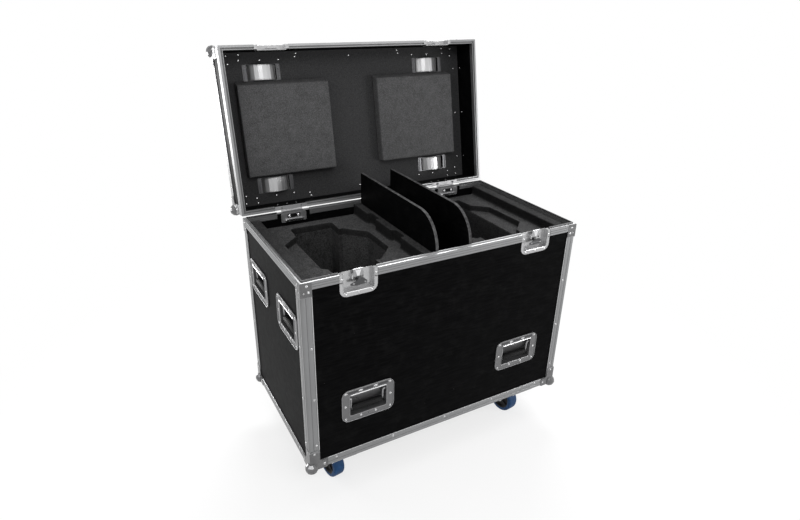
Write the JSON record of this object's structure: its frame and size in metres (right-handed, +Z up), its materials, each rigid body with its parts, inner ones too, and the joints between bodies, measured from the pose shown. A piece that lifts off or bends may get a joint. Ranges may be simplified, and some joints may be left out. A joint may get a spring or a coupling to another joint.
{
  "type": "lighting flight case",
  "caption": "Black plywood flight case on castors with aluminium edging, ball corners, a hinged lid shown open, and two foam-lined bays with dividers.",
  "frame": {"origin": "on the floor, at the bottom centre of the box round the open case", "axes": "+Z up, +X to the right seen from the front, +Y from the front to the back"},
  "size_m": [0.916, 0.7209, 1.2198],
  "materials": {
    "aluminium_edging": "satin",
    "black_plywood": "satin",
    "black_foam": "matte",
    "dark_plate": "satin",
    "grip_rubber": "matte",
    "blue_tread": "satin",
    "zinc_steel": "satin"
  },
  "bodies": {
    "base": {"base_edging": "aluminium_edging", "base_rim_back": "aluminium_edging", "base_rim_front": "aluminium_edging", "castor_board_left": "black_plywood", "castor_board_right": "black_plywood", "divider_left": "black_plywood", "divider_right": "black_plywood", "foam_insert_left": "black_foam", "foam_insert_right": "black_foam", "handle_dish_back_left": "zinc_steel", "handle_dish_back_right": "zinc_steel", "handle_dish_front_left": "zinc_steel", "handle_dish_front_right": "zinc_steel", "handle_dish_left_back": "zinc_steel", "handle_dish_left_front": "zinc_steel", "handle_dish_right_back": "zinc_steel", "handle_dish_right_front": "zinc_steel", "latch_dish_left": "zinc_steel", "latch_dish_right": "zinc_steel", "panel_back": "black_plywood", "panel_bottom": "black_plywood", "panel_front": "black_plywood", "panel_left": "black_plywood", "panel_right": "black_plywood", "stay_base_left": "zinc_steel", "stay_base_right": "zinc_steel"},
    "lid": {"latch_keeper_left": "zinc_steel", "latch_keeper_right": "zinc_steel", "lid_boards": "black_plywood", "lid_edging": "aluminium_edging", "lid_pad_left": "black_foam", "lid_pad_right": "black_foam", "lid_rim_back": "aluminium_edging", "lid_rim_front": "aluminium_edging", "stay_lid_left": "zinc_steel", "stay_lid_right": "zinc_steel", "wheel_cup_back_left": "zinc_steel", "wheel_cup_back_right": "zinc_steel", "wheel_cup_front_left": "zinc_steel", "wheel_cup_front_right": "zinc_steel"},
    "castor_fork_back_left": {"castor_fork_back_left": "zinc_steel"},
    "castor_fork_back_right": {"castor_fork_back_right": "zinc_steel"},
    "castor_fork_front_left": {"castor_fork_front_left": "zinc_steel"},
    "castor_fork_front_right": {"castor_fork_front_right": "zinc_steel"},
    "castor_wheel_back_left": {"castor_wheel_back_left": "blue_tread"},
    "castor_wheel_back_right": {"castor_wheel_back_right": "blue_tread"},
    "castor_wheel_front_left": {"castor_wheel_front_left": "blue_tread"},
    "castor_wheel_front_right": {"castor_wheel_front_right": "blue_tread"},
    "bail_back_left": {"handle_bail_back_left": "grip_rubber"},
    "bail_back_right": {"handle_bail_back_right": "grip_rubber"},
    "bail_front_left": {"handle_bail_front_left": "grip_rubber"},
    "bail_front_right": {"handle_bail_front_right": "grip_rubber"},
    "bail_left_back": {"handle_bail_left_back": "grip_rubber"},
    "bail_left_front": {"handle_bail_left_front": "grip_rubber"},
    "bail_right_back": {"handle_bail_right_back": "grip_rubber"},
    "bail_right_front": {"handle_bail_right_front": "grip_rubber"},
    "butterfly_left": {"latch_butterfly_left": "dark_plate"},
    "butterfly_right": {"latch_butterfly_right": "dark_plate"},
    "hook_left": {"latch_hook_left": "zinc_steel"},
    "hook_right": {"latch_hook_right": "zinc_steel"}
  },
  "joints": [
    {"name": "lid_hinge", "type": "hinge", "parent": "base", "child": "lid", "pos_m": [0, 0.1466, 0.735], "axis": [1, 0, 0], "range_deg": [0, 101]},
    {"name": "butterfly_turn_left", "type": "hinge", "parent": "base", "child": "butterfly_left", "pos_m": [-0.289, -0.3474, 0.708], "axis": [0, -1, 0], "range_deg": [0, 180]},
    {"name": "hook_slide_left", "type": "slide", "parent": "base", "child": "hook_left", "axis": [0, 0.4104, -0.9119], "range_m": [0, 0.00659]},
    {"name": "butterfly_turn_right", "type": "hinge", "parent": "base", "child": "butterfly_right", "pos_m": [0.289, -0.3474, 0.708], "axis": [0, -1, 0], "range_deg": [0, 180]},
    {"name": "hook_slide_right", "type": "slide", "parent": "base", "child": "hook_right", "axis": [0, 0.4104, -0.9119], "range_m": [0, 0.00659]},
    {"name": "bail_swing_front_left", "type": "hinge", "parent": "base", "child": "bail_front_left", "pos_m": [-0.264, -0.3394, 0.344], "axis": [-1, 0, 0], "range_deg": [0, 90], "stiffness_Nm_per_rad": 0.12, "springref_deg": -34.38},
    {"name": "bail_swing_front_right", "type": "hinge", "parent": "base", "child": "bail_front_right", "pos_m": [0.264, -0.3394, 0.344], "axis": [-1, 0, 0], "range_deg": [0, 90], "stiffness_Nm_per_rad": 0.12, "springref_deg": -34.38},
    {"name": "bail_swing_back_left", "type": "hinge", "parent": "base", "child": "bail_back_left", "pos_m": [-0.264, 0.1346, 0.344], "axis": [1, 0, 0], "range_deg": [0, 90], "stiffness_Nm_per_rad": 0.12, "springref_deg": -34.38},
    {"name": "bail_swing_back_right", "type": "hinge", "parent": "base", "child": "bail_back_right", "pos_m": [0.264, 0.1346, 0.344], "axis": [1, 0, 0], "range_deg": [0, 90], "stiffness_Nm_per_rad": 0.12, "springref_deg": -34.38},
    {"name": "bail_swing_left_front", "type": "hinge", "parent": "base", "child": "bail_left_front", "pos_m": [-0.437, -0.2284, 0.588], "axis": [0, 1, 0], "range_deg": [0, 90], "stiffness_Nm_per_rad": 0.12, "springref_deg": -34.38},
    {"name": "bail_swing_left_back", "type": "hinge", "parent": "base", "child": "bail_left_back", "pos_m": [-0.437, 0.0236, 0.588], "axis": [0, 1, 0], "range_deg": [0, 90], "stiffness_Nm_per_rad": 0.12, "springref_deg": -34.38},
    {"name": "bail_swing_right_front", "type": "hinge", "parent": "base", "child": "bail_right_front", "pos_m": [0.437, -0.2284, 0.588], "axis": [0, -1, 0], "range_deg": [0, 90], "stiffness_Nm_per_rad": 0.12, "springref_deg": -34.38},
    {"name": "bail_swing_right_back", "type": "hinge", "parent": "base", "child": "bail_right_back", "pos_m": [0.437, 0.0236, 0.588], "axis": [0, -1, 0], "range_deg": [0, 90], "stiffness_Nm_per_rad": 0.12, "springref_deg": -34.38},
    {"name": "castor_swivel_front_left", "type": "hinge", "parent": "base", "child": "castor_fork_front_left", "pos_m": [-0.335, -0.2749, 0.11], "axis": [0, 0, 1], "continuous": true},
    {"name": "wheel_spin_front_left", "type": "hinge", "parent": "castor_fork_front_left", "child": "castor_wheel_front_left", "pos_m": [-0.33987, -0.24024, 0.05], "axis": [0.9903, 0.1392, 0], "continuous": true},
    {"name": "castor_swivel_front_right", "type": "hinge", "parent": "base", "child": "castor_fork_front_right", "pos_m": [0.335, -0.2749, 0.11], "axis": [0, 0, 1], "continuous": true},
    {"name": "wheel_spin_front_right", "type": "hinge", "parent": "castor_fork_front_right", "child": "castor_wheel_front_right", "pos_m": [0.33013, -0.24024, 0.05], "axis": [0.9903, 0.1392, 0], "continuous": true},
    {"name": "castor_swivel_back_left", "type": "hinge", "parent": "base", "child": "castor_fork_back_left", "pos_m": [-0.335, 0.0701, 0.11], "axis": [0, 0, 1], "continuous": true},
    {"name": "wheel_spin_back_left", "type": "hinge", "parent": "castor_fork_back_left", "child": "castor_wheel_back_left", "pos_m": [-0.33987, 0.10476, 0.05], "axis": [0.9903, 0.1392, 0], "continuous": true},
    {"name": "castor_swivel_back_right", "type": "hinge", "parent": "base", "child": "castor_fork_back_right", "pos_m": [0.335, 0.0701, 0.11], "axis": [0, 0, 1], "continuous": true},
    {"name": "wheel_spin_back_right", "type": "hinge", "parent": "castor_fork_back_right", "child": "castor_wheel_back_right", "pos_m": [0.33013, 0.10476, 0.05], "axis": [0.9903, 0.1392, 0], "continuous": true}
  ],
  "couplings": [
    {"joint": "hook_slide_left", "follows": "butterfly_turn_left", "m_per_rad": 0.0020945},
    {"joint": "hook_slide_right", "follows": "butterfly_turn_right", "m_per_rad": 0.0020945}
  ]
}
